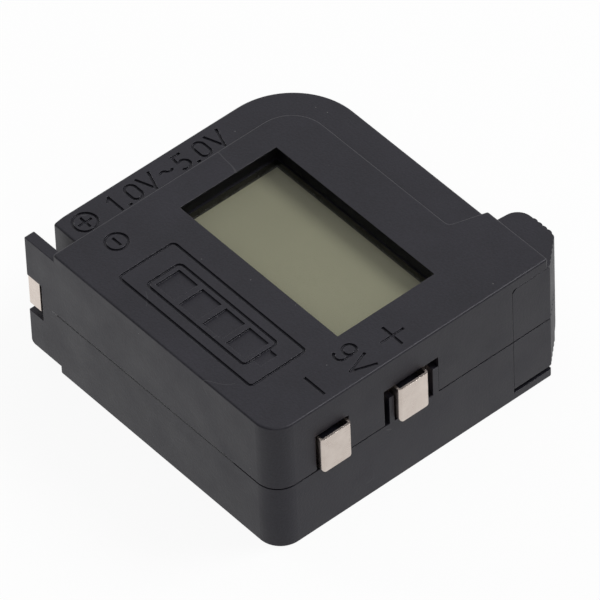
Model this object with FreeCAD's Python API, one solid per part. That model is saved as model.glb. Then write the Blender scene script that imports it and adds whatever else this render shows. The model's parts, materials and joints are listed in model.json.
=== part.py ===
import FreeCAD, Part
import math
import os

V = FreeCAD.Vector

# Pocket battery tester, millimetres.
# X to the right, Y to the back, Z up; the origin is the middle of the footprint on the underside.

# Case
case_width = 60.0            # from the end of the tab to the right face
case_depth = 56.6            # from the front face to the back of the flange
case_height = 26.8
split_height = 13.0          # parting plane of the case and of the arm
jaw_strip = 7.1              # strip on the left, filled by the arm's leg and by the tab
beam_strip = 6.5             # strip at the back, filled by the arm's beam
wall = 2.0
top_plate = 2.0
floor_plate = 2.0
front_right_round = 4.2
front_left_round = 0.4
back_right_round = 0.4
block_round = 6.6            # back left corner of the platform
edge_round = 0.3
rim_round = 0.35             # rim of the platform
seam_height = 0.3            # parting line groove
seam_depth = 0.25
side_seam_depth = 0.45       # on the right face

# Corner where the arm's end block slides between the flange and the lip
flange_width = 14.1          # along the back edge
flange_flare = 2.0           # how much wider the flange is at its root
flange_root_round = 1.1
flange_tip_round = 0.4
flange_thickness = 2.0
lip_thickness = 1.6
lip_proud = 0.5              # behind the flange
pocket_step = 1.0            # the end block reaches this far into the case wall
pocket_chamfer = 0.45

# Tab at the front left, a run-on of the front wall
tab_drop = 1.4               # below the platform
tab_rise = 1.6               # above the underside
tab_round = 0.9
tab_top_round = 0.2
tab_edge_round = 0.15
notch_depth = 3.6
notch_bottom = 9.1
notch_height = 7.95

# Display, from the window down
window_left = 5.6            # margins of the window from the platform's edges
window_right = 9.45
window_front = 21.4
window_back = 8.8
window_sheet = 1.0
window_border = 1.6
frame_height = 1.8
polariser_sheet = 0.2
glass_sheet = 1.1
glass_border = 1.6
glass_ledge = 2.6            # contact ledge of the front glass
zebra_inset = 1.5
zebra_play = 0.2
cushion_depth = 4.5
cushion_inset = 4.0
rib_thickness = 1.0
display_play = 0.2

# Board
board_rise = 2.2             # underside of the board above the parting plane
board_thickness = 1.2
board_play = 0.7
board_right_gap = 2.6
board_hole_play = 0.3

# Parts under the board; places are from its front left corner
chip_length = 2.0
chip_width = 1.25
chip_pitch = 4.0
resistor_height = 0.5
resistor_count = 5
resistor_place = (8.0, 9.6)
capacitor_height = 0.9
capacitor_count = 4
capacitor_place = (8.0, 13.6)
potting_radius = 5.0
potting_height = 1.5
potting_place = (15.0, 23.6)
inductor_size = 6.0
inductor_height = 2.5
inductor_round = 1.2
inductor_place = (25.5, 33.6)
reservoir_radius = 2.0
reservoir_length = 5.5
reservoir_place = (6.2, 34.6)
diode_length = 2.8
diode_width = 1.7
diode_height = 1.1
diode_place = (26.0, 26.6)

# Screws and posts
post_radius = 2.5
case_screw_radius = 0.95
case_screw_head = 1.8
case_screw_head_height = 1.3
case_screw_seat = 6.0
case_screw_bite = 6.0        # length of thread in the upper post
foot_post_radius = 2.8
board_screw_radius = 0.75
board_screw_head = 1.4
board_screw_head_height = 0.9
board_screw_bite = 3.0
board_post_radius = 1.8
board_post_left = 11.5       # places of the front board posts, from the case wall and the stem
board_post_front = 4.6
board_post_stem = 3.0
arm_screw_radius = 0.75
arm_screw_head = 1.4
arm_screw_head_height = 1.0
arm_screw_seat = 1.7
arm_post_radius = 2.7
arm_post_leg = 25.0          # from the arm's end
arm_post_beam = 22.0         # from the arm's left face
arm_post_block = 3.9         # from the right face
screw_play = 0.1
post_play = 1.0              # hole left beyond a screw's tip
drive_width = 0.45
drive_depth = 0.5
drive_margin = 0.45          # from the drive's ends to the head's rim
post_wall_gap = 0.3
post_sink = 0.6              # how far a post is let into the wall beside it

# Arm
slide_gap = 0.2              # between the arm and the case, sideways
block_gap = 0.08             # in front of the arm's end block
arm_play_below = 0.9
arm_play_above = 0.15
arm_wall = 1.5
arm_round = 13.0             # outer corner of the arm
arm_edge_round = 0.35
arm_seam_depth = 0.6
arm_proud = 0.4              # the arm's back, behind the flange
jaw_gap = 3.75               # from the tab to the arm's end, arm pushed home
jaw_taper = 0.45
jaw_taper_length = 3.0
stem_left = 16.0             # from the right face
stem_width = 8.0
stem_drop = 0.8              # top of the stem below the parting plane
stem_front_gap = 0.7
stop_width = 2.0             # T-shaped stop on the lip
stop_head_width = 4.0
stop_neck_height = 2.0
stop_head_height = 1.2
stop_length = 4.4
stop_back_gap = 0.5
stop_play = 0.2
travel = 47.5

# Thumb grip on the arm's end block
grip_reach = 5.6
grip_left = 13.5             # from the right face
grip_right = 0.3
grip_left_lean = 0.6
grip_right_lean = 4.7
grip_shoulder = 2.8
grip_rib_radius = 0.95
grip_rib_pitch = 1.1
grip_rib_height = 0.2
grip_taper = 1.3             # the lower part draws in
grip_taper_height = 9.0

# Contacts
contact_sheet = 0.4
plate_width = 6.1
plate_proud = 1.1
plate_bend = 0.55
plate_rise = 0.1             # above the parting plane
plate_height = 7.25
plate_corner = 0.8
plate_hook = 1.2
plate_play = 0.25
first_plate = 11.85          # centre of the negative plate, from the front face
plate_pitch = 15.9
slot_head = 0.5              # slot left open above a plate
negative_slot = (0.35, 0.35) # slot left open in front of a plate and behind it
positive_slot = (2.25, 2.85)
tongue_drop = 1.6
front_bar = 0.95             # bars of the lower shell in the positive plate's slot
back_bar = 1.15
bar_play = 0.06
strip_height = 6.1
strip_fold = 3.1             # length of the fold on the tab's front
strip_inside = 8.0
strip_bend = 0.5
strip_play = 0.2
jaw_plate_height = 10.0
jaw_plate_margin = 0.7
jaw_leg_height = 4.0
jaw_leg_length = 3.6
jaw_leg_play = 0.15
jaw_dome_radius = 1.9
rail_width = 3.0
rail_sheet = 0.3
rail_front_gap = 1.2
rail_back_gap = 2.0
wiper_width = 2.6
wiper_sheet = 0.3
wiper_foot = 3.0
wiper_foot_place = 10.5
wiper_tip = 3.7              # from the back face
wiper_tip_length = 1.4
wiper_tip_rise = 0.7
wiper_play = 0.4
wiper_gap = 0.05
lead_radius = 0.6
lead_drop = 2.9              # below the arm's top
lead_gap = 0.65              # from the lead down to the arm's posts
lead_level_run = 3.0
lead_rise_run = 6.0
lead_bend = 2.4

# Marks, cut as grooves
mark_width = 0.5
mark_depth = 0.35
label_left = 10.5            # margins of the label frame from the platform's edges
label_right = 10.15
label_front = 4.25
label_depth = 11.75
label_round = 1.0
cell_mark_length = 24.0
cell_mark_width = 7.4
cell_mark_round = 1.1
cell_nub_length = 1.6
cell_nub_width = 3.4
cell_bar_count = 4
cell_bar_margin = 1.25
cell_bar_gap = 1.1
minus_ring_radius = 1.85
minus_ring_bar = 1.6         # length of the bar in the ring
plus_ring_radius = 2.05
plus_ring_bar = 2.2
minus_ring_place = (4.6, 9.25)   # from the platform's left and front faces
plus_ring_place = (3.4, 3.85)    # from the arm's left face and end
range_start = 9.15               # from the arm's end
range_height = 3.5
range_base = 5.2                 # from the arm's left face
range_words = "1.0V~5.0V"
nine_volt_start = 7.25           # from the right face
nine_volt_base = 18.0            # from the front face
nine_volt_height = 4.0
sign_inset = 3.9                 # centre of the plate signs, from the right face
sign_length = 4.3

# Faces and heights that follow from the sizes above
left = -case_width / 2
right = case_width / 2
front = -case_depth / 2
back = case_depth / 2
block_left = left + jaw_strip
block_back = back - beam_strip
pocket_front = block_back - pocket_step
inner_left = block_left + wall
inner_right = right - wall
inner_front = front + wall
inner_back = block_back - wall
inner_pocket = pocket_front - wall
ceiling = case_height - top_plate
flange_bottom = case_height - flange_thickness
flange_left = right - flange_width
flange_root = flange_left - flange_flare
stem_x0 = right - stem_left
stem_x1 = stem_x0 + stem_width
stem_x = (stem_x0 + stem_x1) / 2
pocket_left = stem_x0 - slide_gap
stem_z0 = floor_plate + slide_gap
stem_z1 = split_height - stem_drop
stem_y0 = inner_front + stem_front_gap
arm_z0 = lip_thickness + arm_play_below
arm_z1 = flange_bottom - arm_play_above
leg_inner = block_left - slide_gap
beam_inner = block_back + slide_gap
block_inner = pocket_front + block_gap
arm_back = back + arm_proud
leg_x = (left + leg_inner) / 2
beam_y = (beam_inner + arm_back) / 2
jaw_end = inner_front + jaw_gap
window_x0 = block_left + window_left
window_x1 = right - window_right
window_y0 = front + window_front
window_y1 = block_back - window_back
frame_z1 = ceiling - window_sheet
lcd_z = frame_z1 - frame_height
glass_z = lcd_z - polariser_sheet
ledge_z = glass_z - glass_sheet
reflector_z = ledge_z - glass_sheet
board_bottom = split_height + board_rise
board_top = board_bottom + board_thickness
glass_x0 = window_x0 - glass_border
glass_x1 = window_x1 + glass_border
glass_y0 = window_y0 - glass_border
glass_y1 = window_y1 + glass_border
ledge_y0 = glass_y0 - glass_ledge
board_x0 = inner_left + board_play
board_x1 = inner_right - board_right_gap
board_y0 = inner_front + board_play
board_y1 = inner_pocket - board_play
plate_places = (front + first_plate, front + first_plate + plate_pitch)
plate_z0 = split_height + plate_rise
plate_z1 = plate_z0 + plate_height
slot_z1 = plate_z1 + slot_head
plate_slot_sides = (negative_slot, positive_slot)
strip_z1 = notch_bottom + notch_height
strip_z0 = strip_z1 - strip_height
stop_y1 = back - stop_back_gap
stop_y0 = stop_y1 - stop_length
stop_slot_y0 = stop_y0 - travel - stop_play
rail_z = stem_z1 + rail_sheet
lead_z = arm_z1 - lead_drop
arm_post_top = lead_z - lead_radius - lead_gap
arm_screw_tip = arm_post_top - 2 * post_play
post_inset = foot_post_radius - post_sink
case_posts = (
    (inner_left + post_inset, inner_front + contact_sheet + post_wall_gap + foot_post_radius),
    (inner_right - post_inset, inner_front + post_inset),
    (inner_right - post_inset, inner_pocket - post_inset),
    (inner_left + post_inset, inner_back - post_inset),
)
board_posts = (
    (inner_left + board_post_left, inner_front + board_post_front),
    (stem_x0 - board_post_stem, inner_front + board_post_front),
    ((glass_x0 + glass_x1) / 2, glass_y1 + display_play + post_wall_gap + board_post_radius),
)
arm_posts = (
    (leg_x, jaw_end + arm_post_leg),
    (left + arm_post_beam, beam_y),
    (right - arm_post_block, (block_inner + arm_back) / 2),
)


def box(x0, x1, y0, y1, z0, z1):
    return Part.makeBox(x1 - x0, y1 - y0, z1 - z0, V(x0, y0, z0))


def rod(place, z0, z1, radius):
    return Part.makeCylinder(radius, z1 - z0, V(place[0], place[1], z0))


def corner_arc(before, corner, after, radius):
    """Tangent arc at a corner: its start, middle and end."""
    to_before = (before - corner).normalize()
    to_after = (after - corner).normalize()
    half = to_before.getAngle(to_after) / 2
    reach = radius / math.tan(half)
    inward = (to_before + to_after).normalize()
    middle = corner + inward * (radius / math.sin(half) - radius)
    return corner + to_before * reach, middle, corner + to_after * reach


def rounded_edges(points, radii, closed):
    """Straight runs through the points, joined by tangent arcs."""
    count = len(points)
    ends = []
    for i, (point, radius) in enumerate(zip(points, radii)):
        if radius > 0 and (closed or 0 < i < count - 1):
            ends.append(corner_arc(points[i - 1], point, points[(i + 1) % count], radius))
        else:
            ends.append((point, None, point))
    edges = []
    for i, (start, middle, end) in enumerate(ends):
        if middle is not None:
            edges.append(Part.Arc(start, middle, end).toShape())
        if closed or i < count - 1:
            edges.append(Part.LineSegment(end, ends[(i + 1) % count][0]).toShape())
    return edges


def outline_face(corners, spot):
    """Face inside (u, v, radius) corners; spot turns u, v into a point."""
    points = [spot(u, v) for u, v, _ in corners]
    return Part.Face(Part.Wire(rounded_edges(points, [r for _, _, r in corners], True)))


def prism(corners, z0, z1):
    return outline_face(corners, lambda x, y: V(x, y, z0)).extrude(V(0, 0, z1 - z0))


def rectangle(x0, x1, y0, y1, radius):
    return [(x0, y0, radius), (x1, y0, radius), (x1, y1, radius), (x0, y1, radius)]


def flat_edges(shape, z0, z1):
    """Edges that lie in the plane z0 or the plane z1."""
    found = []
    for edge in shape.Edges:
        b = edge.BoundBox
        for z in (z0, z1):
            if abs(b.ZMin - z) < 1e-6 and abs(b.ZMax - z) < 1e-6:
                found.append(edge)
    return found


def tube(points, radii, radius):
    """Round wire along straight runs joined by tangent arcs."""
    path = Part.Wire(rounded_edges(points, radii, False))
    start = points[0]
    ring = Part.makeCircle(radius, start, points[1] - start)
    return path.makePipeShell([Part.Wire([ring])], True, False)


# Marks

def line_groove(x0, y0, x1, y1, z):
    """Groove from point to point, mark_depth deep from the height z."""
    along = V(x1 - x0, y1 - y0, 0)
    half = mark_width / 2
    groove = Part.makeBox(along.Length + mark_width, mark_width, 2 * mark_depth, V(-half, -half, 0))
    groove.rotate(V(0, 0, 0), V(0, 0, 1), math.degrees(math.atan2(along.y, along.x)))
    groove.translate(V(x0, y0, z - mark_depth))
    return groove


def arc_groove(x, y, radius, start, end, z):
    """Groove along an arc, angles in degrees."""
    base = z - mark_depth
    height = 2 * mark_depth
    sweep = end - start
    outer = Part.makeCylinder(radius + mark_width / 2, height, V(x, y, base), V(0, 0, 1), sweep)
    inner = Part.makeCylinder(radius - mark_width / 2, height, V(x, y, base), V(0, 0, 1), sweep)
    groove = outer.cut(inner)
    groove.rotate(V(x, y, 0), V(0, 0, 1), start)
    return groove


def dash(u0, v0, u1, v1):
    return ("dash", u0, v0, u1, v1)


def bow(u, v, radius, start, end):
    return ("bow", u, v, radius, start, end)


# Strokes of each figure in a cell of height 1, with the figure's width
figures = {
    "0": (0.56, [bow(0.28, 0.72, 0.28, 0, 180), bow(0.28, 0.28, 0.28, 180, 360),
                 dash(0, 0.34, 0, 0.66), dash(0.56, 0.34, 0.56, 0.66)]),
    "1": (0.42, [dash(0.24, 0, 0.24, 1), dash(0.24, 0.97, 0.04, 0.8)]),
    "5": (0.58, [dash(0.5, 1, 0.1, 1), dash(0.1, 0.97, 0.06, 0.56), bow(0.27, 0.3, 0.3, -145, 125)]),
    "9": (0.56, [bow(0.28, 0.72, 0.28, 0, 360), bow(0.28, 0.28, 0.28, 205, 360),
                 dash(0.56, 0.34, 0.56, 0.66)]),
    "V": (0.72, [dash(0, 1, 0.36, 0), dash(0.36, 0, 0.72, 1)]),
    "~": (0.72, [bow(0.19, 0.4, 0.2, 28, 150), bow(0.5364, 0.6, 0.2, 208, 330)]),
    ".": (0.06, [dash(0.0, 0.0, 0.06, 0.0)]),
}
figure_gap = 0.28


def figure_grooves(words, x, y, turn, height, z):
    """Grooves of a line of figures that starts at x, y and runs along the direction turn."""
    c = math.cos(math.radians(turn))
    s = math.sin(math.radians(turn))

    def spot(u, v):
        return x + height * (c * u - s * v), y + height * (s * u + c * v)

    grooves = []
    cell = 0.0
    for figure in words:
        width, strokes = figures[figure]
        for kind, u, v, *rest in strokes:
            if kind == "dash":
                grooves.append(line_groove(*spot(cell + u, v), *spot(cell + rest[0], rest[1]), z))
            else:
                radius, start, end = rest
                grooves.append(
                    arc_groove(*spot(cell + u, v), radius * height, start + turn, end + turn, z))
        cell += width + figure_gap
    return grooves


def sign_grooves(x, y, length, z, crossed):
    half = length / 2
    grooves = [line_groove(x - half, y, x + half, y, z)]
    if crossed:
        grooves.append(line_groove(x, y - half, x, y + half, z))
    return grooves


def ring_grooves(x, y, z, radius, bar, crossed):
    return [arc_groove(x, y, radius, 0, 360, z)] + sign_grooves(x, y, bar, z, crossed)


def label_grooves(z):
    """Frame in front of the window, with a plain sign of a cell and its charge bars."""
    x0 = block_left + label_left
    x1 = right - label_right
    y0 = front + label_front
    y1 = y0 + label_depth
    base = z - mark_depth
    height = z + mark_depth
    w = mark_width

    def ring(a0, a1, b0, b1, radius):
        outer = prism(rectangle(a0, a1, b0, b1, radius), base, height)
        return outer.cut(prism(rectangle(a0 + w, a1 - w, b0 + w, b1 - w, radius - w), base, height))

    cx = (x0 + x1) / 2
    cy = (y0 + y1) / 2
    c0 = cx - cell_mark_length / 2
    c1 = cx + cell_mark_length / 2
    half = cell_mark_width / 2
    grooves = [ring(x0, x1, y0, y1, label_round), ring(c0, c1, cy - half, cy + half, cell_mark_round)]
    nub = cell_nub_width / 2
    grooves.append(box(c1, c1 + cell_nub_length, cy - nub, cy + nub, base, height))
    room = cell_mark_length - 2 * cell_bar_margin
    step = (room + cell_bar_gap) / cell_bar_count
    for i in range(cell_bar_count):
        a = c0 + cell_bar_margin + i * step
        grooves.append(box(a, a + step - cell_bar_gap, cy - half + cell_bar_margin,
                           cy + half - cell_bar_margin, base, height))
    return grooves


def platform_grooves():
    z = case_height
    x, y = minus_ring_place
    grooves = label_grooves(z)
    grooves += ring_grooves(block_left + x, front + y, z, minus_ring_radius, minus_ring_bar, False)
    grooves += figure_grooves("9V", right - nine_volt_start, front + nine_volt_base, 0,
                              nine_volt_height, z)
    for place, crossed in zip(plate_places, (False, True)):
        grooves += sign_grooves(right - sign_inset, place, sign_length, z, crossed)
    return grooves


# Case

def case_block():
    """Outside of the case: platform block with the flange corner, and the tab."""
    corners = [
        (block_left, front, front_left_round),
        (right, front, front_right_round),
        (right, back, back_right_round),
        (flange_left, back, flange_tip_round),
        (flange_root, block_back, flange_root_round),
        (block_left, block_back, block_round),
    ]
    block = prism(corners, 0, case_height)
    block = block.makeFillet(rim_round, flat_edges(block, case_height, case_height))
    block = block.makeFillet(edge_round, flat_edges(block, 0, 0))
    tab_corners = [
        (left, tab_rise, tab_round),
        (inner_left, tab_rise, 0),
        (inner_left, case_height - tab_drop, 0),
        (left, case_height - tab_drop, tab_top_round),
    ]
    tab = outline_face(tab_corners, lambda x, z: V(x, front, z)).extrude(V(0, wall, 0))
    ends = [e for e in tab.Edges if e.BoundBox.XMax < left + tab_round + edge_round
            and e.BoundBox.YLength < 1e-6]
    return block.fuse([tab.makeFillet(tab_edge_round, ends), lip()]).removeSplitter()


def lip():
    """Lip under the arm's end block."""
    reach = back + lip_proud
    corners = [
        (flange_left, block_back, 0),
        (right, block_back, 0),
        (right, reach, back_right_round),
        (flange_left, reach, flange_tip_round),
    ]
    plate = prism(corners, 0, lip_thickness)
    rim = [e for e in flat_edges(plate, 0, 0) if e.BoundBox.YMax > block_back + edge_round]
    return plate.makeFillet(edge_round, rim)


def arm_pocket():
    """Space of the arm's end block at the back right corner."""
    low, high = lip_thickness, flange_bottom
    beyond = wall
    corner = box(flange_root - beyond, right + beyond, block_back, back + beyond, low, high)
    step = box(pocket_left, right + beyond, pocket_front, block_back + beyond, low, high)
    return corner.fuse(step.cut(chamfer_bar(pocket_front, high, 0)))


def chamfer_bar(y, z, grow):
    """Three-sided bar along X at the upper front corner of the end block."""
    size = pocket_chamfer + grow
    spots = [V(0, y, z), V(0, y + size, z), V(0, y, z - size)]
    face = Part.Face(Part.makePolygon(spots + [spots[0]]))
    face.translate(V(pocket_left - wall, 0, 0))
    return face.extrude(V(right + 2 * wall - pocket_left, 0, 0))


def cavity():
    corners = [
        (inner_left, inner_front, front_left_round),
        (inner_right, inner_front, front_right_round - wall),
        (inner_right, inner_pocket, edge_round),
        (pocket_left - wall, inner_pocket, edge_round),
        (pocket_left - wall, inner_back, edge_round),
        (inner_left, inner_back, block_round - wall),
    ]
    return prism(corners, floor_plate, ceiling)


def case_shape():
    case = case_block().cut([arm_pocket(), cavity()])
    notch = box(left - wall, left + notch_depth, front - wall, inner_front + strip_play,
                notch_bottom, strip_z1)
    strip_slot = box(block_left - wall, inner_left + front_left_round + strip_play, inner_front,
                     inner_front + contact_sheet + strip_play, strip_z0 - strip_play, strip_z1)
    stem_slot = box(pocket_left, stem_x1 + slide_gap, inner_pocket - slide_gap, pocket_front + slide_gap,
                    floor_plate, split_height)
    wiper_slot = box(stem_x - wiper_width / 2 - wiper_play, stem_x + wiper_width / 2 + wiper_play,
                     inner_pocket - slide_gap, pocket_front + slide_gap, split_height, board_bottom)
    return case.cut([notch, strip_slot, stem_slot, wiper_slot])


def plate_slots():
    """Openings in the right wall round the two plates, above the parting plane."""
    slots = []
    half = plate_width / 2
    for place, (before, behind) in zip(plate_places, plate_slot_sides):
        slots.append(box(inner_right - slide_gap, right + wall, place - half - before,
                         place + half + behind, split_height, slot_z1))
    return slots


def seam_groove():
    """Thin groove all round the block, just above the parting plane."""
    z1 = split_height + seam_height
    d = seam_depth
    side = right - side_seam_depth
    outer = box(block_left, right + wall, front - wall, back + wall, split_height, z1)
    corners = [
        (block_left + d, front + d, front_left_round),
        (side, front + d, front_right_round - d),
        (side, block_back - d, edge_round),
        (block_left + d, block_back - d, block_round - d),
    ]
    return outer.cut(prism(corners, split_height, z1))


def upper_shell(case):
    shell = case.common(box(left - wall, right + wall, front - wall, back + wall,
                            split_height, case_height + wall))
    ribs = box(glass_x0 - display_play - rib_thickness, glass_x1 + display_play + rib_thickness,
               ledge_y0 - display_play - rib_thickness, glass_y1 + display_play + rib_thickness,
               board_top, ceiling)
    well = box(glass_x0 - display_play, glass_x1 + display_play, ledge_y0 - display_play,
               glass_y1 + display_play, board_top, ceiling)
    posts = [rod(p, split_height, ceiling, post_radius) for p in case_posts]
    posts += [rod(p, board_top, ceiling, board_post_radius) for p in board_posts]
    shell = shell.fuse([ribs.cut(well)] + posts)
    window = box(window_x0, window_x1, window_y0, window_y1, ceiling - wall, case_height + wall)
    holes = [rod(p, split_height, split_height + case_screw_bite + post_play,
                 case_screw_radius + screw_play) for p in case_posts]
    holes += [rod(p, board_top, board_top + board_screw_bite + post_play,
                  board_screw_radius + screw_play) for p in board_posts]
    shell = shell.cut([window, seam_groove()] + holes + plate_slots())
    return shell.cut(platform_grooves())


def plate_tongues():
    """Tongues of the lower shell; each folded plate sits astride one, the positive one between bars."""
    z1 = plate_z1 - tongue_drop
    half = plate_width / 2
    core = half - contact_sheet - plate_play
    spans = [(place - core, place + core) for place in plate_places]
    place = plate_places[1]
    front_end = place - half - plate_play
    back_end = place + half + positive_slot[1] - bar_play
    spans.append((front_end - front_bar, front_end))
    spans.append((back_end - back_bar, back_end))
    return [box(inner_right, right, y0, y1, split_height, z1) for y0, y1 in spans]


def stop_shape(grow, y0, y1):
    """T-section on the lip: neck and head, grown for the slot that runs over it."""
    neck = stop_width / 2 + grow
    head = stop_head_width / 2 + grow
    z0 = lip_thickness
    z1 = z0 + stop_neck_height
    z2 = z1 + stop_head_height
    return box(stem_x - neck, stem_x + neck, y0, y1, z0 - grow, z1).fuse(
        box(stem_x - head, stem_x + head, y0, y1, z1 - grow, z2 + grow))


def lower_shell(case):
    shell = case.common(box(left - wall, right + wall, front - wall, back + wall,
                            -wall, split_height))
    posts = [rod(p, 0, split_height, foot_post_radius) for p in case_posts]
    posts.append(stop_shape(0, stop_y0, stop_y1))
    guides = [(stem_x0 - slide_gap - rib_thickness, stem_x0 - slide_gap),
              (stem_x1 + slide_gap, stem_x1 + slide_gap + rib_thickness)]
    for x0, x1 in guides:
        posts.append(box(x0, x1, inner_front, inner_pocket, floor_plate, (floor_plate + stem_z1) / 2))
    shell = shell.fuse(posts + plate_tongues())
    holes = [rod(p, -wall, case_screw_seat, case_screw_head + screw_play) for p in case_posts]
    holes += [rod(p, 0, split_height + wall, case_screw_radius + screw_play) for p in case_posts]
    return shell.cut(holes)


# Display and board

def display_window():
    b = window_border
    return box(window_x0 - b, window_x1 + b, window_y0 - b, window_y1 + b, frame_z1, ceiling)


def display_frame():
    outer = box(glass_x0, glass_x1, ledge_y0, glass_y1, lcd_z, frame_z1)
    return outer.cut(box(window_x0, window_x1, window_y0, window_y1, lcd_z, frame_z1))


def zebra_strip():
    return box(glass_x0 + zebra_inset, glass_x1 - zebra_inset, ledge_y0 + zebra_play,
               glass_y0 - zebra_play, board_top, ledge_z)


def lcd_cushion():
    z1 = reflector_z - polariser_sheet
    return box(glass_x0 + cushion_inset, glass_x1 - cushion_inset, window_y1 - cushion_depth,
               window_y1, board_top, z1)


def circuit_board():
    board = box(board_x0, board_x1, board_y0, board_y1, board_bottom, board_top)
    holes = [rod(p, board_bottom, board_top, post_radius + board_hole_play) for p in case_posts]
    holes += [rod(p, board_bottom, board_top, board_screw_radius + screw_play) for p in board_posts]
    return max(board.cut(holes).Solids, key=lambda solid: solid.Volume)


def on_board(place):
    return board_x0 + place[0], board_y0 + place[1]


def chips(count, place, height):
    """Row of chips under the board."""
    start, y = on_board(place)
    z = board_bottom
    found = []
    for i in range(count):
        x = start + i * chip_pitch
        found.append(box(x, x + chip_length, y, y + chip_width, z - height, z))
    return Part.makeCompound(found)


def controller_potting():
    """Drop of black resin over the controller."""
    swell = (potting_radius ** 2 + potting_height ** 2) / (2 * potting_height)
    x, y = on_board(potting_place)
    low = board_bottom - potting_height
    ball = Part.makeSphere(swell, V(x, y, low + swell))
    return ball.common(rod((x, y), low, board_bottom, 2 * potting_radius))


def boost_inductor():
    x, y = on_board(inductor_place)
    h = inductor_size / 2
    low = board_bottom - inductor_height
    can = prism(rectangle(x - h, x + h, y - h, y + h, inductor_round), low, board_bottom)
    return can.makeFillet(edge_round, flat_edges(can, low, low))


def reservoir_capacitor():
    """Can lying along Y against the board."""
    x, y = on_board(reservoir_place)
    start = V(x, y - reservoir_length / 2, board_bottom - reservoir_radius)
    can = Part.makeCylinder(reservoir_radius, reservoir_length, start, V(0, 1, 0))
    return can.makeFillet(edge_round, [e for e in can.Edges if e.BoundBox.YLength < 1e-6])


def rectifier_diode():
    x, y = on_board(diode_place)
    z = board_bottom
    return box(x, x + diode_length, y, y + diode_width, z - diode_height, z)


# Contacts

def nine_volt_contact(place, slot):
    """Sheet plate folded into a U, astride its tongue, with hooks behind the wall."""
    half = plate_width / 2
    face = right + plate_proud
    t = contact_sheet
    hook_x = inner_right - t
    outer = [(hook_x, place - half, 0), (face, place - half, plate_bend),
             (face, place + half, plate_bend), (hook_x, place + half, 0)]
    inner = [(hook_x - t, place - half + t, 0), (face - t, place - half + t, plate_bend - t),
             (face - t, place + half - t, plate_bend - t), (hook_x - t, place + half - t, 0)]
    sheet = prism(outer, plate_z0, plate_z1).cut(prism(inner, plate_z0, plate_z1))
    for way in (-1, 1):
        corner_y = place + way * (half - plate_corner)
        y0, y1 = sorted((corner_y, place + way * half))
        chip = box(inner_right, face + t, y0, y1, plate_z0, plate_z0 + plate_corner)
        round_end = Part.makeCylinder(plate_corner, face + t - inner_right,
                                      V(inner_right, corner_y, plate_z0 + plate_corner), V(1, 0, 0))
        sheet = sheet.cut(chip.cut(round_end))
    before = place - half - slot[0] - plate_hook
    behind = place + half + slot[1] + plate_hook
    hooks = [box(hook_x, inner_right, before, place - half + t, board_top, plate_z1),
             box(hook_x, inner_right, place + half - t, behind, board_top, plate_z1)]
    tail_y = place + half - t
    tail = box(board_x1 - plate_hook, inner_right, tail_y, tail_y + plate_hook, board_top, board_top + t)
    return sheet.fuse(hooks + [tail]).removeSplitter()


def cell_negative_contact():
    """Strip along the tab's inner face, folded round the tab's end in the notch."""
    t = contact_sheet
    far = inner_left + strip_inside
    corners = [
        (far, inner_front, 0), (far, inner_front + t, 0),
        (left, inner_front + t, strip_bend), (left, front, strip_bend),
        (left + strip_fold, front, 0), (left + strip_fold, front + t, 0),
        (left + t, front + t, strip_bend - t), (left + t, inner_front, strip_bend - t),
    ]
    return prism(corners, strip_z0, strip_z1)


def cell_positive_contact():
    """Plate on the arm's end with a pressed dome, and a leg into the arm."""
    t = contact_sheet
    plate = box(left + jaw_plate_margin, leg_inner - jaw_plate_margin, jaw_end - t, jaw_end,
                split_height - jaw_plate_height / 2, split_height + jaw_plate_height / 2)
    dome = Part.makeCone(jaw_dome_radius, jaw_dome_radius / 2, t, V(leg_x, jaw_end - t, split_height),
                         V(0, -1, 0))
    leg = box(leg_x - t / 2, leg_x + t / 2, jaw_end - t, jaw_end + jaw_leg_length,
              split_height - jaw_leg_height / 2, split_height + jaw_leg_height / 2)
    return plate.fuse([dome, leg]).removeSplitter()


def contact_rail():
    """Strip on top of the stem, with a tail for the lead."""
    half = rail_width / 2
    y1 = back - rail_back_gap
    rail = box(stem_x - half, stem_x + half, stem_y0 + rail_front_gap, y1, stem_z1, rail_z)
    tail = box(stem_x, stem_x1, y1 - rail_width, y1, stem_z1, rail_z)
    return rail.fuse(tail).removeSplitter()


def wiper_spring():
    """Finger from the board's underside down to the rail, through the back wall."""
    t = wiper_sheet
    foot_y = wiper_foot_place
    knee_y = foot_y + wiper_foot
    tip_y = back - wiper_tip
    low = rail_z + wiper_gap
    side = [(foot_y, board_bottom), (knee_y, board_bottom), (tip_y, low + t),
            (tip_y + wiper_tip_length, low + t + wiper_tip_rise),
            (tip_y + wiper_tip_length, low + wiper_tip_rise), (tip_y, low),
            (knee_y, board_bottom - t), (foot_y, board_bottom - t)]
    x0 = stem_x - wiper_width / 2
    spots = [V(x0, y, z) for y, z in side]
    return Part.Face(Part.makePolygon(spots + [spots[0]])).extrude(V(wiper_width, 0, 0))


# Arm

def arm_corners(inset):
    """Plan of the arm, drawn in by inset all round."""
    return [
        (left + inset, jaw_end + inset, 0),
        (leg_inner - inset, jaw_end + inset, 0),
        (leg_inner - inset, beam_inner + inset, block_round + slide_gap + inset),
        (stem_x0 + inset, beam_inner + inset, 0),
        (stem_x0 + inset, block_inner + inset, 0),
        (right - inset, block_inner + inset, 0),
        (right - inset, arm_back - inset, 0),
        (left + inset, arm_back - inset, arm_round - inset),
    ]


def grip_ribs(start, end):
    """Shallow upright ribs on the grip, from one corner of its plan to the next."""
    run = end - start
    along = V(run).normalize()
    sink = V(along.y, -along.x, 0) * (grip_rib_radius - grip_rib_height)
    count = int(run.Length / grip_rib_pitch)
    spare = (run.Length - count * grip_rib_pitch) / 2
    places = [start + along * (spare + (i + 0.5) * grip_rib_pitch) + sink for i in range(count)]
    return [rod(place, arm_z0, arm_z1, grip_rib_radius) for place in places]


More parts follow.
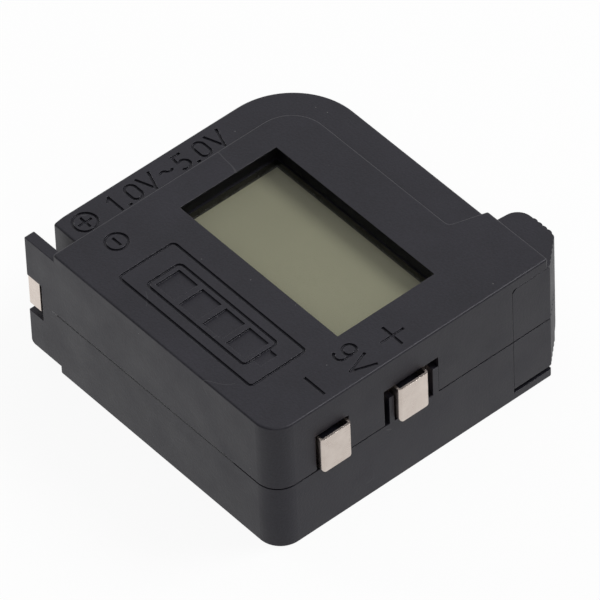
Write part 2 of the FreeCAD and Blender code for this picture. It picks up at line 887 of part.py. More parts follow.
def grip_corners(inset):
    """Plan of the grip, drawn in by inset on the sides that show."""
    x0 = right - grip_left + inset
    x1 = right - grip_right - inset
    root = arm_back - arm_wall
    top = back + grip_reach - inset
    return [
        (x0, root, 0), (x1, root, 0), (x1, arm_back - inset, 0),
        (x1 - grip_right_lean, top, grip_shoulder / 2 - inset),
        (x0 + grip_left_lean, top, grip_shoulder - inset),
    ]


def grip():
    """Thumb grip behind the end block, ribbed, drawn in towards the bottom."""
    x0 = right - grip_left
    x1 = right - grip_right
    root = arm_back - arm_wall
    top = back + grip_reach
    knee = x1 - grip_right_lean
    body = prism(grip_corners(0), arm_z0, arm_z1)
    shoulder = x0 + grip_left_lean + grip_shoulder
    corner = V(knee, top, 0)
    body = body.fuse(grip_ribs(V(shoulder, top, 0), corner) + grip_ribs(corner, V(x1, arm_back, 0)))
    bow_radius = (grip_taper_height ** 2 + grip_taper ** 2) / (2 * grip_taper)
    far = top + grip_rib_height
    mid_z = arm_z0 + grip_taper_height
    lean_z = arm_z0 + grip_taper_height / 2
    dip = bow_radius - math.sqrt(bow_radius ** 2 - (grip_taper_height / 2) ** 2)
    profile = Part.Wire([
        Part.LineSegment(V(x0 - wall, root, arm_z0), V(x0 - wall, far - grip_taper, arm_z0)).toShape(),
        Part.Arc(V(x0 - wall, far - grip_taper, arm_z0), V(x0 - wall, far - dip, lean_z),
                 V(x0 - wall, far, mid_z)).toShape(),
        Part.LineSegment(V(x0 - wall, far, mid_z), V(x0 - wall, far, arm_z1)).toShape(),
        Part.LineSegment(V(x0 - wall, far, arm_z1), V(x0 - wall, root, arm_z1)).toShape(),
        Part.LineSegment(V(x0 - wall, root, arm_z1), V(x0 - wall, root, arm_z0)).toShape(),
    ])
    return body.common(Part.Face(profile).extrude(V(grip_left + 2 * wall, 0, 0)))


def arm_block():
    """Outside of the arm, both halves together."""
    block = prism(arm_corners(0), arm_z0, arm_z1)
    rim = [e for e in flat_edges(block, arm_z0, arm_z1) if e.BoundBox.XMax < stem_x0 + edge_round]
    block = block.makeFillet(arm_edge_round, rim)
    taper = Part.makePolygon([V(left, jaw_end, 0), V(left + jaw_taper, jaw_end, 0),
                              V(left, jaw_end + jaw_taper_length, 0), V(left, jaw_end, 0)])
    wedge = Part.Face(taper).extrude(V(0, 0, case_height))
    return block.fuse(grip()).cut([wedge, chamfer_bar(block_inner, arm_z1, slide_gap)])


def arm_hollow():
    return prism(arm_corners(arm_wall), arm_z0 + arm_wall, arm_z1 - arm_wall)


def arm_cuts():
    """Openings that both halves share: the contact's leg, and the finger above the stem."""
    leg = box(leg_x - contact_sheet / 2 - jaw_leg_play, leg_x + contact_sheet / 2 + jaw_leg_play,
              jaw_end - arm_wall, jaw_end + 2 * arm_wall, split_height - jaw_leg_height / 2 - jaw_leg_play,
              split_height + jaw_leg_height / 2 + jaw_leg_play)
    half = rail_width / 2 + wiper_play
    finger = box(stem_x - half, stem_x + half, block_inner - arm_wall, block_inner + 2 * arm_wall,
                 stem_z1, board_bottom)
    return [leg, finger]


def arm_upper_half(block):
    half = block.common(box(left - wall, right + wall, front - wall, back + 2 * grip_reach,
                            split_height, arm_z1))
    half = half.cut(arm_hollow())
    half = half.fuse([rod(p, split_height, arm_post_top, arm_post_radius).common(block)
                      for p in arm_posts])
    holes = [rod(p, split_height, arm_screw_tip + post_play, arm_screw_radius + screw_play)
             for p in arm_posts]
    seam = block.cut(arm_seam_core()).common(
        box(left - wall, right + wall, front - wall, back + 2 * grip_reach,
            split_height, split_height + seam_height))
    x, y = plus_ring_place
    marks = ring_grooves(left + x, jaw_end + y, arm_z1, plus_ring_radius, plus_ring_bar, True)
    marks += figure_grooves(range_words, left + range_base, jaw_end + range_start, 90,
                            range_height, arm_z1)
    return half.cut(holes + arm_cuts() + [seam]).cut(marks)


def arm_seam_core():
    """What the parting groove leaves: the arm drawn in by the groove's depth."""
    core = prism(arm_corners(arm_seam_depth), arm_z0, arm_z1)
    return core.fuse(prism(grip_corners(arm_seam_depth), arm_z0, arm_z1))


def arm_lower_half(block):
    half = block.common(box(left - wall, right + wall, front - wall, back + 2 * grip_reach,
                            arm_z0, split_height))
    half = half.cut(arm_hollow())
    stem = box(stem_x0, stem_x1, stem_y0, arm_back - arm_wall, stem_z0, stem_z1)
    posts = [rod(p, arm_z0, split_height, arm_post_radius).common(block) for p in arm_posts]
    half = half.fuse(posts + [stem])
    holes = [rod(p, 0, split_height + wall, arm_screw_radius + screw_play) for p in arm_posts]
    holes += [rod(p, 0, arm_z0 + arm_screw_seat, arm_screw_head + screw_play) for p in arm_posts]
    slot = stop_shape(stop_play, stop_slot_y0, stop_y1 + stop_play)
    return half.cut(holes + arm_cuts() + [slot])


def arm_lead():
    """Wire from the contact's leg, along the leg and the beam, down to the rail's tail."""
    start_y = jaw_end + jaw_leg_length
    drop_x = stem_x1 - 2 * lead_radius
    points = [
        V(leg_x, start_y, split_height),
        V(leg_x, start_y + lead_level_run, split_height),
        V(leg_x, start_y + lead_level_run + lead_rise_run, lead_z),
        V(leg_x, beam_y, lead_z),
        V(drop_x, beam_y, lead_z),
        V(drop_x, beam_y, rail_z),
    ]
    round_corner = arm_round - (leg_x - left)
    return tube(points, [0, lead_bend, lead_bend, round_corner, lead_bend, 0], lead_radius)


# Screws

def screw(place, seat, tip, radius, head, head_height):
    """Round-headed screw pointing up, its head below the seat, with a crossed drive."""
    x, y = place
    z = seat - head_height
    body = rod(place, z, seat, head).fuse(rod(place, seat, tip, radius))
    half = drive_width / 2
    reach = head - drive_margin
    for a, b in ((half, reach), (reach, half)):
        body = body.cut(box(x - a, x + a, y - b, y + b, z, z + drive_depth))
    return body


def screws(places, seat, tip, radius, head, head_height):
    return Part.makeCompound([screw(p, seat, tip, radius, head, head_height) for p in places])


def build():
    case = case_shape()
    arm = arm_block()
    pieces = {
        "upper_shell": upper_shell(case),
        "lower_shell": lower_shell(case),
        "display_window": display_window(),
        "display_frame": display_frame(),
        "lcd_polariser": box(glass_x0, glass_x1, glass_y0, glass_y1, glass_z, lcd_z),
        "lcd_front_glass": box(glass_x0, glass_x1, ledge_y0, glass_y1, ledge_z, glass_z),
        "lcd_rear_glass": box(glass_x0, glass_x1, glass_y0, glass_y1, reflector_z, ledge_z),
        "lcd_reflector": box(glass_x0, glass_x1, glass_y0, glass_y1,
                             reflector_z - polariser_sheet, reflector_z),
        "lcd_cushion": lcd_cushion(),
        "zebra_strip": zebra_strip(),
        "circuit_board": circuit_board(),
        "controller_potting": controller_potting(),
        "chip_resistors": chips(resistor_count, resistor_place, resistor_height),
        "chip_capacitors": chips(capacitor_count, capacitor_place, capacitor_height),
        "boost_inductor": boost_inductor(),
        "reservoir_capacitor": reservoir_capacitor(),
        "rectifier_diode": rectifier_diode(),
        "nine_volt_negative_contact": nine_volt_contact(plate_places[0], negative_slot),
        "nine_volt_positive_contact": nine_volt_contact(plate_places[1], positive_slot),
        "cell_negative_contact": cell_negative_contact(),
        "wiper_spring": wiper_spring(),
        "case_screws": screws(case_posts, case_screw_seat, split_height + case_screw_bite,
                              case_screw_radius, case_screw_head, case_screw_head_height),
        "board_screws": screws(board_posts, board_bottom, board_top + board_screw_bite,
                               board_screw_radius, board_screw_head, board_screw_head_height),
        "arm_upper_half": arm_upper_half(arm),
        "arm_lower_half": arm_lower_half(arm),
        "cell_positive_contact": cell_positive_contact(),
        "contact_rail": contact_rail(),
        "arm_lead": arm_lead(),
        "arm_screws": screws(arm_posts, arm_z0 + arm_screw_seat, arm_screw_tip,
                             arm_screw_radius, arm_screw_head, arm_screw_head_height),
    }
    return pieces


os.makedirs("parts", exist_ok=True)
for name, shape in build().items():
    shape.exportStep("parts/" + name + ".step")
    print(name, len(shape.Solids), round(shape.Volume, 2), shape.isValid())
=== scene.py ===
import bpy
import json
import math
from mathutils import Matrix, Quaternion, Vector


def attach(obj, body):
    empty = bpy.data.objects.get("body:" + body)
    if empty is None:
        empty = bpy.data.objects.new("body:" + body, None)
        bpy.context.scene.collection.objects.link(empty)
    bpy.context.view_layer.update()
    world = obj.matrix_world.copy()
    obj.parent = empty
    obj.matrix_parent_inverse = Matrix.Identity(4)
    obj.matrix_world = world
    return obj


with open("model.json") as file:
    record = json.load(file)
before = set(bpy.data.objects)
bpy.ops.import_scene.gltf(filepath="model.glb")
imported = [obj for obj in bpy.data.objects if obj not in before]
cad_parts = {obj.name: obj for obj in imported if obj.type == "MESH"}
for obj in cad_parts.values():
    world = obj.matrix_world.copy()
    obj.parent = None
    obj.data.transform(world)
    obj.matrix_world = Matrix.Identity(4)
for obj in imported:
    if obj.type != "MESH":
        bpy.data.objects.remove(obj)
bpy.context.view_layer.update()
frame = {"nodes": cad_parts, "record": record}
bpy.ops.object.select_all(action="DESELECT")
print("frame loaded:", len(frame["nodes"]), "nodes")

mm = 0.001


# camera, at the photograph's viewing angle
cameraSetup = {
    "aim": (0.765 * mm, 1.910 * mm, 13.585 * mm),
    "distance": 1.417,
    "azimuth": 51.064,
    "elevation": 46.005,
    "roll": 2.489,
    "lens": 540.0,
    "sensor": 36.0,
    "clip": (0.05, 20.0),
}


def addCamera():
    c = cameraSetup
    az, el = math.radians(c["azimuth"]), math.radians(c["elevation"])
    back = Vector((math.sin(az) * math.cos(el), -math.cos(az) * math.cos(el), math.sin(el)))
    data = bpy.data.cameras.new("photoCamera")
    data.lens = c["lens"]
    data.sensor_width = c["sensor"]
    data.clip_start, data.clip_end = c["clip"]
    cam = bpy.data.objects.new("photoCamera", data)
    bpy.context.scene.collection.objects.link(cam)
    cam.location = Vector(c["aim"]) + back * c["distance"]
    cam.rotation_mode = "QUATERNION"
    turn = Quaternion((0, 0, 1), -math.radians(c["roll"]))
    cam.rotation_quaternion = (-back).to_track_quat("-Z", "Y") @ turn
    bpy.context.scene.camera = cam


addCamera()
print("camera placed")


# small helpers for node trees
def feed(tree, socket, value):
    if isinstance(value, bpy.types.NodeSocket):
        tree.links.new(value, socket)
    else:
        socket.default_value = value


def mathNode(tree, kind, first, second=0.0):
    node = tree.nodes.new("ShaderNodeMath")
    node.operation = kind
    feed(tree, node.inputs[0], first)
    feed(tree, node.inputs[1], second)
    return node.outputs[0]


def vectorNode(tree, kind, first, second=(0, 0, 0)):
    node = tree.nodes.new("ShaderNodeVectorMath")
    node.operation = kind
    feed(tree, node.inputs[0], first)
    feed(tree, node.inputs[1], second)
    return node.outputs["Value" if kind == "DOT_PRODUCT" else "Vector"]


def splitNode(tree, vector):
    node = tree.nodes.new("ShaderNodeSeparateXYZ")
    feed(tree, node.inputs[0], vector)
    return node.outputs


def noiseNode(tree, place, scale, detail, roughness):
    node = tree.nodes.new("ShaderNodeTexNoise")
    feed(tree, node.inputs["Vector"], place)
    feed(tree, node.inputs["Scale"], scale)
    feed(tree, node.inputs["Detail"], detail)
    feed(tree, node.inputs["Roughness"], roughness)
    return node.outputs["Fac"]


def rangeNode(tree, value, low, high, toLow=0.0, toHigh=1.0):
    node = tree.nodes.new("ShaderNodeMapRange")
    feed(tree, node.inputs["Value"], value)
    feed(tree, node.inputs["From Min"], low)
    feed(tree, node.inputs["From Max"], high)
    feed(tree, node.inputs["To Min"], toLow)
    feed(tree, node.inputs["To Max"], toHigh)
    return node.outputs[0]


def mixValue(tree, factor, first, second):
    return rangeNode(tree, factor, 0.0, 1.0, first, second)


def mixShader(tree, factor, first, second):
    node = tree.nodes.new("ShaderNodeMixShader")
    for socket, value in zip(node.inputs, (factor, first, second)):
        tree.links.new(value, socket)
    return node.outputs[0]


# floor, sky and lamps
stageSetup = {
    "floorSize": 6.0,
    "floorDrop": 0.02 * mm,              # keeps the floor off the underside
    "floorColour": (0.90, 0.90, 0.90, 1),
    "floorRough": 0.9,
    "floorGlow": 0.92,                   # share of plain white that the camera sees over the lit floor
    "floorDim": (-0.016, 0.042),         # painted shadow: where the floor's glow goes dim, as shiny faces see it
    "floorDimLevel": 0.745,
    "skyLevel": 0.54,
    "ceiling": 0.74,                     # brightness high up, against the backdrop's
    # the studio is dimmer low down on one side, and the backdrop is opposite
    "dimSide": {
        "way": (0.777, -0.629, 0.0), "edge": (-0.35, 0.05), "height": (0.20, 0.60), "level": 0.15,
    },
    # a dark screen stands in front, to the left
    "frontScreen": {
        "way": (-0.60, -0.80, 0.0), "edge": (0.40, 0.70), "height": (0.55, 0.85), "level": 0.05,
    },
    "lampAim": (0, 0, 13 * mm),
    "lamps": [
        {"name": "keyLamp", "place": (0.45, 0.72, 1.00), "size": 0.55, "power": 8.5},
        {"name": "sideLamp", "place": (-1.10, -0.30, 0.32), "size": 0.50, "power": 4.0},
        {"name": "nearLamp", "place": (0.62, -0.58, 0.86), "size": 0.14, "power": 0.9},     # edge glints
    ],
}


def addFloor():
    s = stageSetup
    bpy.ops.mesh.primitive_plane_add(size=s["floorSize"], location=(0, 0, -s["floorDrop"]))
    floor = bpy.context.object
    floor.name = "floor"
    bpy.ops.object.transform_apply(location=True, rotation=True, scale=True)
    mat = bpy.data.materials.new("paleFloor")
    mat.use_nodes = True
    tree = mat.node_tree
    paint = tree.nodes["Principled BSDF"]
    paint.inputs["Base Color"].default_value = s["floorColour"]
    paint.inputs["Roughness"].default_value = s["floorRough"]
    paint.inputs["Specular IOR Level"].default_value = 0.0
    ray = tree.nodes.new("ShaderNodeLightPath").outputs
    straight = mathNode(tree, "MAXIMUM", ray["Is Camera Ray"], ray["Is Transmission Ray"])
    seen = mathNode(tree, "MAXIMUM", straight, ray["Is Glossy Ray"])
    place = tree.nodes.new("ShaderNodeTexCoord").outputs["Object"]
    across = vectorNode(tree, "DOT_PRODUCT", place, s["dimSide"]["way"])
    # painted shadow on the floor's glow, for the shiny faces that reflect it
    dim = rangeNode(tree, across, *s["floorDim"], 1.0, s["floorDimLevel"])
    glow = tree.nodes.new("ShaderNodeEmission")
    glow.inputs["Color"].default_value = (1, 1, 1, 1)
    feed(tree, glow.inputs["Strength"], mathNode(tree, "MAXIMUM", straight, dim))
    share = mathNode(tree, "MULTIPLY", seen, s["floorGlow"])
    above = mixShader(tree, share, paint.outputs[0], glow.outputs[0])
    under = tree.nodes.new("ShaderNodeNewGeometry").outputs["Backfacing"]
    clear = tree.nodes.new("ShaderNodeBsdfTransparent").outputs[0]
    shown = mixShader(tree, under, above, clear)           # seen from below the floor is clear
    feed(tree, tree.nodes["Material Output"].inputs["Surface"], shown)
    floor.data.materials.append(mat)


def addSky():
    s = stageSetup
    world = bpy.data.worlds.new("studioSky")
    bpy.context.scene.world = world
    world.use_nodes = True
    tree = world.node_tree
    sky = tree.nodes["Background"]
    sky.inputs["Color"].default_value = (1, 1, 1, 1)
    way = tree.nodes.new("ShaderNodeTexCoord").outputs["Generated"]
    height = splitNode(tree, way)["Z"]

    def lowPart(screen):
        return rangeNode(tree, height, *screen["height"], 1.0, 0.0)

    def shadeOf(screen):
        across = rangeNode(tree, vectorNode(tree, "DOT_PRODUCT", way, screen["way"]), *screen["edge"])
        return mixValue(tree, mathNode(tree, "MULTIPLY", across, lowPart(screen)), 1.0, screen["level"])

    shade = mathNode(tree, "MULTIPLY", shadeOf(s["dimSide"]), shadeOf(s["frontScreen"]))
    ray = tree.nodes.new("ShaderNodeLightPath").outputs
    shiny = mathNode(tree, "MAXIMUM", ray["Is Glossy Ray"], ray["Is Transmission Ray"])
    reflected = mixValue(tree, lowPart(s["dimSide"]), s["ceiling"], 1.0)
    level = mathNode(tree, "MULTIPLY", mixValue(tree, shiny, s["skyLevel"], reflected), shade)
    feed(tree, sky.inputs["Strength"], mathNode(tree, "MAXIMUM", level, ray["Is Camera Ray"]))


def addLamps():
    s = stageSetup
    for lamp in s["lamps"]:
        data = bpy.data.lights.new(lamp["name"], "AREA")
        data.shape = "DISK"
        data.size = lamp["size"]
        data.energy = lamp["power"]
        item = bpy.data.objects.new(lamp["name"], data)
        bpy.context.scene.collection.objects.link(item)
        item.location = lamp["place"]
        item.rotation_mode = "QUATERNION"
        aim = Vector(s["lampAim"]) - Vector(lamp["place"])
        item.rotation_quaternion = aim.to_track_quat("-Z", "Y")


addFloor()
addSky()
addLamps()
bpy.context.scene.view_settings.view_transform = "Standard"
print("stage lit")


# shared effects, as node groups; a noise is given as scale, detail and roughness, or the last two
vectorSockets = ("Centre", "Half", "Normal")


def startGroup(name, inputs, outputs):
    group = bpy.data.node_groups.new(name, "ShaderNodeTree")
    for side, labels in (("INPUT", inputs), ("OUTPUT", outputs)):
        for label in labels:
            kind = "NodeSocketVector" if label in vectorSockets else "NodeSocketFloat"
            group.interface.new_socket(label, in_out=side, socket_type=kind)
    place = group.nodes.new("ShaderNodeTexCoord").outputs["Object"]
    given = group.nodes.new("NodeGroupInput").outputs
    out = group.nodes.new("NodeGroupOutput").inputs
    return group, place, given, out


grainSetup = {
    "grain": (2.0, 0.6), "smear": (160.0, 4.0, 0.55), "cloud": (45.0, 2.0, 0.5),
    "roughSpan": (0.3, 0.7),
    "toneSpan": (0.12, 0.40), "toneShare": 0.45,           # broad clouds
    "speckSpan": (0.30, 0.70), "speckShare": 0.55,         # the grain's own specks
}


def makeGrainGroup():
    s = grainSetup
    group, place, given, out = startGroup(
        "mouldedGrain", ["Grain Scale", "Rough Low", "Rough High"], ["Height", "Roughness", "Tone"])
    grain = noiseNode(group, place, given["Grain Scale"], *s["grain"])
    smear = noiseNode(group, place, *s["smear"])
    cloud = noiseNode(group, place, *s["cloud"])
    rough = rangeNode(group, smear, *s["roughSpan"], given["Rough Low"], given["Rough High"])
    tone = rangeNode(group, mathNode(group, "MULTIPLY", smear, cloud), *s["toneSpan"], 0.0, s["toneShare"])
    speckle = rangeNode(group, grain, *s["speckSpan"], 0.0, s["speckShare"])
    feed(group, out["Height"], grain)
    feed(group, out["Roughness"], rough)
    feed(group, out["Tone"], mathNode(group, "ADD", tone, speckle))
    return group


def makeDustGroup():
    group, place, given, out = startGroup("fineDust", ["Cell Scale", "Speck Size", "Share"], ["Mask"])
    cells = group.nodes.new("ShaderNodeTexVoronoi")
    feed(group, cells.inputs["Vector"], place)
    feed(group, cells.inputs["Scale"], given["Cell Scale"])
    near = mathNode(group, "LESS_THAN", cells.outputs["Distance"], given["Speck Size"])
    pick = group.nodes.new("ShaderNodeSeparateColor")
    feed(group, pick.inputs["Color"], cells.outputs["Color"])
    chosen = mathNode(group, "LESS_THAN", pick.outputs["Red"], given["Share"])
    feed(group, out["Mask"], mathNode(group, "MULTIPLY", near, chosen))
    return group


scratchSetup = {"winding": (1.0, 0.3), "lineLevel": 0.5, "patch": (1.0, 0.5)}


def makeScratchGroup():
    s = scratchSetup
    group, place, given, out = startGroup(
        "hairScratches", ["Line Scale", "Line Width", "Patch Scale", "Share"], ["Mask"])
    winding = noiseNode(group, place, given["Line Scale"], *s["winding"])
    off = mathNode(group, "ABSOLUTE", mathNode(group, "SUBTRACT", winding, s["lineLevel"]))
    line = mathNode(group, "LESS_THAN", off, given["Line Width"])            # thin winding lines
    patch = noiseNode(group, place, given["Patch Scale"], *s["patch"])
    short = mathNode(group, "LESS_THAN", patch, given["Share"])              # cut to short lengths
    feed(group, out["Mask"], mathNode(group, "MULTIPLY", line, short))
    return group


brushSetup = {
    "lines": (1.0, 3.0, 0.6), "stain": (420.0, 4.0, 0.6),
    "roughSpan": (0.12, 0.42), "toneSpan": (0.3, 0.7),
}


def makeBrushGroup():
    s = brushSetup
    group, place, given, out = startGroup(
        "rolledSheet", ["Along", "Across", "Rough Low", "Rough High"], ["Height", "Roughness", "Tone"])
    spread = group.nodes.new("ShaderNodeCombineXYZ")
    for axis, label in (("X", "Along"), ("Y", "Along"), ("Z", "Across")):
        feed(group, spread.inputs[axis], given[label])
    stretched = vectorNode(group, "MULTIPLY", place, spread.outputs[0])
    lines = noiseNode(group, stretched, *s["lines"])
    stain = noiseNode(group, place, *s["stain"])
    mixed = mathNode(group, "MULTIPLY", lines, stain)
    feed(group, out["Height"], lines)
    feed(group, out["Roughness"],
         rangeNode(group, mixed, *s["roughSpan"], given["Rough Low"], given["Rough High"]))
    feed(group, out["Tone"], rangeNode(group, stain, *s["toneSpan"]))
    return group


wearSetup = {"samples": 6, "edgeSpan": (0.98, 0.78), "patch": (4.0, 0.6), "patchSpan": (0.40, 0.70)}


def makeWearGroup():
    s = wearSetup
    group, place, given, out = startGroup(
        "handledEdgesAndHighlight", ["Width", "Amount", "Patch Scale"], ["Mask", "Edge", "Normal"])
    bevel = group.nodes.new("ShaderNodeBevel")
    bevel.samples = s["samples"]
    feed(group, bevel.inputs["Radius"], given["Width"])
    soft = bevel.outputs["Normal"]
    sharp = group.nodes.new("ShaderNodeNewGeometry").outputs["Normal"]
    edge = rangeNode(group, vectorNode(group, "DOT_PRODUCT", soft, sharp), *s["edgeSpan"])
    patch = noiseNode(group, place, given["Patch Scale"], *s["patch"])
    worn = mathNode(group, "MULTIPLY", edge, rangeNode(group, patch, *s["patchSpan"]))
    feed(group, out["Mask"], mathNode(group, "MULTIPLY", worn, given["Amount"]))
    feed(group, out["Edge"], edge)
    feed(group, out["Normal"], soft)
    return group


def makeBoxGroup():
    group, place, given, out = startGroup("boxRegion", ["Centre", "Half"], ["Mask"])
    away = vectorNode(group, "ABSOLUTE", vectorNode(group, "SUBTRACT", place, given["Centre"]))
    sides = zip(splitNode(group, away), splitNode(group, given["Half"]))
    insideX, insideY, insideZ = [mathNode(group, "LESS_THAN", far, half) for far, half in sides]
    both = mathNode(group, "MULTIPLY", insideX, insideY)
    feed(group, out["Mask"], mathNode(group, "MULTIPLY", both, insideZ))
    return group


grainGroup = makeGrainGroup()
dustGroup = makeDustGroup()
scratchGroup = makeScratchGroup()
brushGroup = makeBrushGroup()
wearGroup = makeWearGroup()
boxGroup = makeBoxGroup()
print("node groups made")


# materials
def startMaterial(name):
    mat = bpy.data.materials.new(name)
    mat.use_nodes = True
    return mat, mat.node_tree, mat.node_tree.nodes["Principled BSDF"]


def placeGroup(tree, group, values):
    node = tree.nodes.new("ShaderNodeGroup")
    node.node_tree = group
    for label, value in values.items():
        node.inputs[label].default_value = value
    return node.outputs


def mixColour(tree, factor, first, second):
    node = tree.nodes.new("ShaderNodeMix")
    node.data_type = "RGBA"
    feed(tree, node.inputs["Factor"], factor)
    for index, value in ((6, first), (7, second)):         # 6, 7 and 2 are the colour sockets
        feed(tree, node.inputs[index], (*value, 1.0) if isinstance(value, tuple) else value)
    return node.outputs[2]


def addBump(tree, shader, height, s, normal):
    bump = tree.nodes.new("ShaderNodeBump")
    bump.inputs["Strength"].default_value = s["bump"]
    bump.inputs["Distance"].default_value = s["bumpDepth"]
    feed(tree, bump.inputs["Height"], height)
    feed(tree, bump.inputs["Normal"], normal)
    feed(tree, shader.inputs["Normal"], bump.outputs[0])


def makePlastic(name, s):
    mat, tree, shader = startMaterial(name)
    roughLow, roughHigh = s["rough"]
    grain = placeGroup(tree, grainGroup, {
        "Grain Scale": s["grain"], "Rough Low": roughLow, "Rough High": roughHigh})
    dust = placeGroup(tree, dustGroup, s["dust"])
    wear = placeGroup(tree, wearGroup, s["wear"])
    colour = mixColour(tree, grain["Tone"], s["dark"], s["light"])
    # edges painted lighter: partly real wear, partly a painted edge highlight
    colour = mixColour(tree, wear["Mask"], colour, s["wornColour"])
    if "scratches" in s:
        scratch = placeGroup(tree, scratchGroup, s["scratches"])
        colour = mixColour(tree, scratch["Mask"], colour, s["scratchColour"])
    colour = mixColour(tree, dust["Mask"], colour, s["dustColour"])
    rough = mixValue(tree, wear["Edge"], grain["Roughness"], s["edgeRough"])
    for part in s.get("regions", []):                      # places with their own roughness, and painted shade or light in their colour
        region = placeGroup(tree, boxGroup, part["box"])
        rough = mixValue(tree, region["Mask"], rough, part["rough"])
        colour = mixColour(tree, region["Mask"], colour, part["colour"])
    feed(tree, shader.inputs["Base Color"], colour)
    feed(tree, shader.inputs["Roughness"], rough)
    shader.inputs["Specular IOR Level"].default_value = s["shine"]
    shader.inputs["Specular Tint"].default_value = (*s["tint"], 1.0)
    addBump(tree, shader, grain["Height"], s, wear["Normal"])
    return mat


def makeSheetMetal(name, s):
    mat, tree, shader = startMaterial(name)
    roughLow, roughHigh = s["rough"]
    brush = placeGroup(tree, brushGroup, {
        "Along": s["along"], "Across": s["across"], "Rough Low": roughLow, "Rough High": roughHigh})
    wear = placeGroup(tree, wearGroup, s["wear"])
    colour = mixColour(tree, brush["Tone"], s["dark"], s["light"])
    colour = mixColour(tree, wear["Mask"], colour, s["wornColour"])
    ray = tree.nodes.new("ShaderNodeLightPath").outputs    # duller in what it throws on the plastic
    thrown = mathNode(tree, "MAXIMUM", ray["Is Diffuse Ray"], ray["Is Glossy Ray"])
    thrownRough = mathNode(tree, "MULTIPLY", thrown, s["thrownRough"])
    feed(tree, shader.inputs["Base Color"], colour)
    feed(tree, shader.inputs["Roughness"], mathNode(tree, "MAXIMUM", brush["Roughness"], thrownRough))
    shader.inputs["Metallic"].default_value = 1.0
    addBump(tree, shader, brush["Height"], s, wear["Normal"])
    return mat


def makeClear(name, s):
    mat, tree, shader = startMaterial(name)
    place = tree.nodes.new("ShaderNodeTexCoord").outputs["Object"]
    haze = noiseNode(tree, place, *s["haze"])
    feed(tree, shader.inputs["Base Color"], mixColour(tree, haze, s["tint"], s["tintHaze"]))
    feed(tree, shader.inputs["Roughness"], rangeNode(tree, haze, *s["hazeSpan"], *s["rough"]))
    shader.inputs["Transmission Weight"].default_value = 1.0
    shader.inputs["IOR"].default_value = s["ior"]
    ray = tree.nodes.new("ShaderNodeLightPath").outputs    # plain to the light that falls on the display
    lighting = mathNode(tree, "MAXIMUM", ray["Is Shadow Ray"], ray["Is Diffuse Ray"])
    clear = tree.nodes.new("ShaderNodeBsdfTransparent").outputs[0]
    shown = mixShader(tree, lighting, shader.outputs[0], clear)
    feed(tree, tree.nodes["Material Output"].inputs["Surface"], shown)
    return mat


def variant(look, **changes):
    return dict(look, **changes)


plasticLook = {
    "grain": 2600.0, "rough": (0.40, 0.50), "shine": 0.43, "tint": (0.95, 0.93, 1.0),
    "dark": (0.0035, 0.0034, 0.0062), "light": (0.0130, 0.0124, 0.0185),
    "dust": {"Cell Scale": 460.0, "Speck Size": 0.045, "Share": 0.12}, "dustColour": (0.10, 0.10, 0.10),
    "bump": 0.9, "bumpDepth": 0.03 * mm,
    "wear": {"Width": 0.12 * mm, "Amount": 0.5, "Patch Scale": 300.0},
    # edge colour: partly wear, partly a painted highlight on rims and engraved marks
    "wornColour": (0.050, 0.050, 0.055), "edgeRough": 0.22,
}
# painted shade: the window's walls are painted darker; their lower roughness is a real polish
polishedShadedWindow = {
    "box": {"Centre": (1.625 * mm, 3.05 * mm, 24.4 * mm), "Half": (18.95 * mm, 9.97 * mm, 2.6 * mm)},
    "rough": 0.08, "colour": (0.002, 0.002, 0.002),
}
# painted light: the front seam groove is painted lighter, which fills in its shade
partingLinePaintedLight = {
    "box": {"Centre": (-2.0 * mm, -28.17 * mm, 13.15 * mm), "Half": (22.0 * mm, 0.14 * mm, 0.16 * mm)},
    "rough": 0.7, "colour": (0.13, 0.13, 0.135),
}
caseLook = variant(
    plasticLook, scratchColour=(0.034, 0.034, 0.038),
    scratches={"Line Scale": 70.0, "Line Width": 0.0026, "Patch Scale": 120.0, "Share": 0.34},
    regions=[polishedShadedWindow, partingLinePaintedLight],
)
filmLook = variant(
    plasticLook, grain=600.0, rough=(0.75, 0.85), shine=0.10,
    dark=(0.220, 0.217, 0.150), light=(0.231, 0.229, 0.157),
    dust={"Cell Scale": 500.0, "Speck Size": 0.03, "Share": 0.03}, dustColour=(0.16, 0.16, 0.12),
    bump=0.02, bumpDepth=0.005 * mm, wornColour=(0.13, 0.13, 0.08),
)
nickelLook = {
    "along": 260.0, "across": 9000.0, "rough": (0.24, 0.40), "thrownRough": 0.9,
    "dark": (0.675, 0.590, 0.531), "light": (0.785, 0.699, 0.636),
    "bump": 0.10, "bumpDepth": 0.01 * mm,
    "wear": {"Width": 0.03 * mm, "Amount": 0.4, "Patch Scale": 500.0}, "wornColour": (0.76, 0.71, 0.66),
}
windowLook = {
    "haze": (60.0, 3.0, 0.5), "hazeSpan": (0.3, 0.7), "rough": (0.0, 0.015),
    "tint": (0.97, 0.97, 0.95), "tintHaze": (0.99, 0.99, 0.98), "ior": 1.22,
}

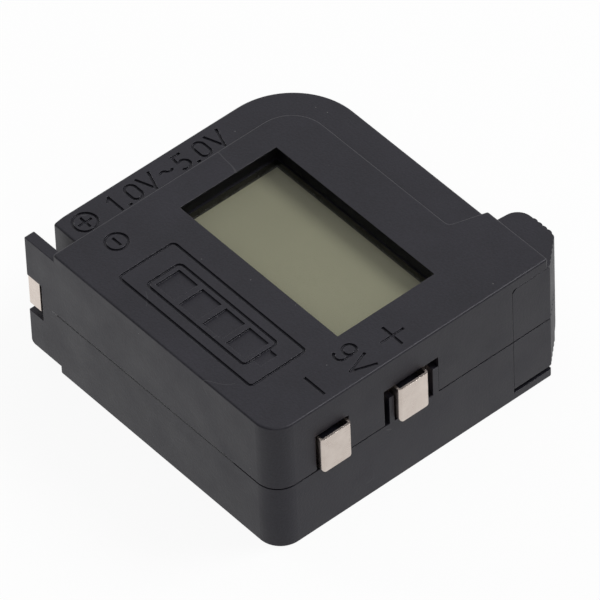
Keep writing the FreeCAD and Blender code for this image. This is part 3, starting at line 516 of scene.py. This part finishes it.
finishes = {
    "black_plastic": makePlastic("satinBlackPlastic", caseLook),
    "clear_sheet": makeClear("clearWindowSheet", windowLook),
    "display_film": makePlastic("displayFilm", filmLook),
    "display_glass": makeClear("displayGlass", variant(windowLook, ior=1.5, tint=(0.90, 0.95, 0.92))),
    "reflector_film": makeSheetMetal("reflectorFilm", variant(nickelLook, rough=(0.45, 0.6))),
    "foam": makePlastic("cushionFoam", variant(
        plasticLook, rough=(0.9, 1.0), shine=0.1, bump=0.6, bumpDepth=0.1 * mm,
        dark=(0.05, 0.05, 0.055), light=(0.09, 0.09, 0.095))),
    "elastomer": makePlastic("zebraRubber", variant(
        plasticLook, rough=(0.6, 0.7), dark=(0.24, 0.20, 0.16), light=(0.32, 0.27, 0.22))),
    "board_laminate": makePlastic("boardLaminate", variant(
        plasticLook, grain=3800.0, rough=(0.35, 0.45),
        dark=(0.012, 0.075, 0.030), light=(0.020, 0.105, 0.045))),
    "resin": makePlastic("pottingResin", variant(plasticLook, rough=(0.25, 0.4), grain=1500.0)),
    "chip_dark": makePlastic("chipDark", variant(plasticLook, rough=(0.5, 0.6))),
    "chip_tan": makePlastic("chipTan", variant(
        plasticLook, dark=(0.26, 0.17, 0.10), light=(0.34, 0.23, 0.14))),
    "ferrite": makePlastic("ferriteCan", variant(
        plasticLook, rough=(0.7, 0.8), dark=(0.03, 0.03, 0.032), light=(0.05, 0.05, 0.052))),
    "can_aluminium": makeSheetMetal("canAluminium", variant(
        nickelLook, dark=(0.70, 0.71, 0.72), light=(0.80, 0.81, 0.82))),
    "nickel_sheet": makeSheetMetal("nickelSheet", nickelLook),
    "spring_bronze": makeSheetMetal("springBronze", variant(
        nickelLook, dark=(0.55, 0.36, 0.18), light=(0.68, 0.46, 0.24))),
    "screw_steel": makeSheetMetal("screwSteel", variant(
        nickelLook, dark=(0.45, 0.45, 0.46), light=(0.58, 0.58, 0.59), rough=(0.3, 0.45),
        wear={"Width": 0.25 * mm, "Amount": 0.5, "Patch Scale": 900.0}, wornColour=(0.68, 0.68, 0.69))),
    "wire_jacket": makePlastic("wireJacket", variant(
        plasticLook, dark=(0.30, 0.012, 0.010), light=(0.40, 0.020, 0.016))),
}
print("finishes made:", len(finishes))


# the record says which slot each node takes
def dressNodes():
    for part in frame["record"]["subparts"]:
        node = frame["nodes"][part["node"]]
        node.data.materials.clear()
        node.data.materials.append(finishes[part["material_slot"]])


dressNodes()
print("nodes dressed")


# thin dark sheet of painted shade on the window's four walls
shadeLiningSetup = {
    "low": (-17.29 * mm, -6.89 * mm, 24.82 * mm), "high": (20.54 * mm, 12.99 * mm, 26.72 * mm),
    "sheet": 0.02 * mm, "flat": 0.9,     # a face that looks up or down more than this is left out
    # painted shade: darker and duller than the case plastic
    "look": variant(
        plasticLook, rough=(0.55, 0.65), shine=0.10, dustColour=(0.02, 0.02, 0.02),
        dark=(0.0018, 0.0018, 0.0020), light=(0.0030, 0.0030, 0.0034)),
}


def addShadeLining():
    s = shadeLiningSetup
    low, high = Vector(s["low"]), Vector(s["high"])
    bpy.ops.object.select_all(action="DESELECT")
    bpy.ops.mesh.primitive_cube_add(size=1.0, location=(low + high) / 2)
    lining = bpy.context.object
    lining.name = lining.data.name = "windowShadeSheet"
    lining.scale = high - low
    bpy.ops.object.transform_apply(location=True, rotation=True, scale=True)
    bpy.ops.object.mode_set(mode="EDIT")
    bpy.ops.mesh.select_mode(type="FACE")
    bpy.ops.mesh.select_all(action="DESELECT")
    bpy.ops.object.mode_set(mode="OBJECT")
    for face in lining.data.polygons:
        face.select = abs(face.normal.z) > s["flat"]       # open at the top and the bottom
    bpy.ops.object.mode_set(mode="EDIT")
    bpy.ops.mesh.delete(type="FACE")
    bpy.ops.object.mode_set(mode="OBJECT")
    wall = lining.modifiers.new("wallSheet", "SOLIDIFY")
    wall.thickness = s["sheet"]
    wall.offset = -1.0
    wall.use_even_offset = True
    bpy.ops.object.modifier_apply(modifier=wall.name)
    lining.data.materials.append(makePlastic("paintedShadeWall", s["look"]))
    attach(lining, "case")


addShadeLining()
print("window lined")
